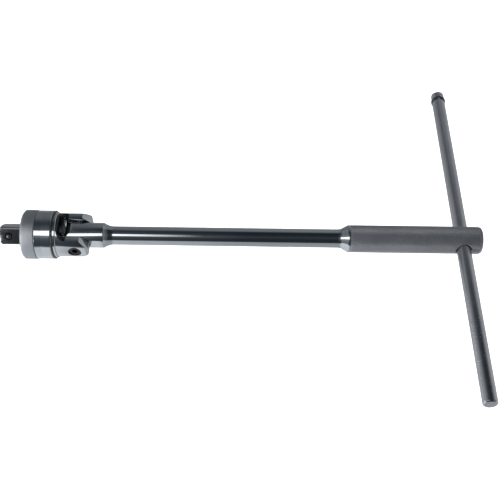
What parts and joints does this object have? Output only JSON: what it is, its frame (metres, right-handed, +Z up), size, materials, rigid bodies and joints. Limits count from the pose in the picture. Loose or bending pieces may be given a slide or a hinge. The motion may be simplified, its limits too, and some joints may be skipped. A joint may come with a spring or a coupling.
{
  "type": "flex head ratchet t handle",
  "caption": "Ratcheting T-handle with a flexible fork head, a 3/8 in square drive, a reversing ring and a sliding cross bar.",
  "frame": {"origin": "centre of the square drive's end face", "axes": "+X along the shaft from the drive to the grip, +Y along the cross bar and the head's pivot, +Z up as the tool lies flat"},
  "size_m": [0.2571, 0.2084, 0.0264],
  "materials": {
    "polished_chrome": "polished chrome plate",
    "satin_chrome": "satin chrome plate",
    "dark_steel": "black oxide, oiled",
    "spring_steel": "drawn spring steel",
    "ball_steel": "polished bearing steel",
    "bronze": "sintered bronze"
  },
  "bodies": {
    "handle": {"handle_shaft": "polished_chrome", "bar_friction_ball": "ball_steel", "bar_friction_spring": "spring_steel", "bar_friction_plug": "dark_steel"},
    "sliding_bar": {"t_bar": "satin_chrome", "bar_stop_ring": "dark_steel"},
    "head": {"ratchet_body": "polished_chrome", "pivot_screw": "dark_steel", "hinge_ball": "ball_steel", "hinge_spring": "spring_steel", "ratchet_barrel": "polished_chrome", "barrel_retaining_ring": "dark_steel", "spindle_bush": "bronze", "spindle_snap_ring": "spring_steel", "ring_retaining_wire": "spring_steel", "index_ball": "ball_steel", "index_spring": "spring_steel", "pawl_pin": "spring_steel"},
    "selector": {"reversing_ring": "satin_chrome", "selector_finger": "spring_steel"},
    "pawl": {"ratchet_pawl": "dark_steel", "pawl_leaf_spring": "spring_steel"},
    "drive": {"drive_spindle": "dark_steel", "drive_detent_spring": "spring_steel"},
    "drive_ball": {"drive_detent_ball": "ball_steel"}
  },
  "joints": [
    {"name": "bar_slide", "type": "slide", "parent": "handle", "child": "sliding_bar", "axis": [0, 1, 0], "range_m": [-0.098, 0.088]},
    {"name": "head_tilt", "type": "hinge", "parent": "handle", "child": "head", "pos_m": [0.0406, 0, 0], "axis": [0, 1, 0], "range_deg": [-90, 90]},
    {"name": "selector_turn", "type": "hinge", "parent": "head", "child": "selector", "pos_m": [0.0126, 0, 0], "axis": [1, 0, 0], "range_deg": [0, 24]},
    {"name": "pawl_rock", "type": "hinge", "parent": "head", "child": "pawl", "pos_m": [0.0211, 0, 0.0089], "axis": [1, 0, 0], "range_deg": [0, 12]},
    {"name": "drive_spin", "type": "hinge", "parent": "head", "child": "drive", "pos_m": [0, 0, 0], "axis": [1, 0, 0], "continuous": true},
    {"name": "drive_ball_press", "type": "slide", "parent": "drive", "child": "drive_ball", "axis": [0, -0.788, 0.6157], "range_m": [-0.0008, 0], "stiffness_N_per_m": 400, "springref_m": 0.001}
  ],
  "couplings": [
    {"joint": "pawl_rock", "follows": "selector_turn", "ratio": 0.5}
  ]
}
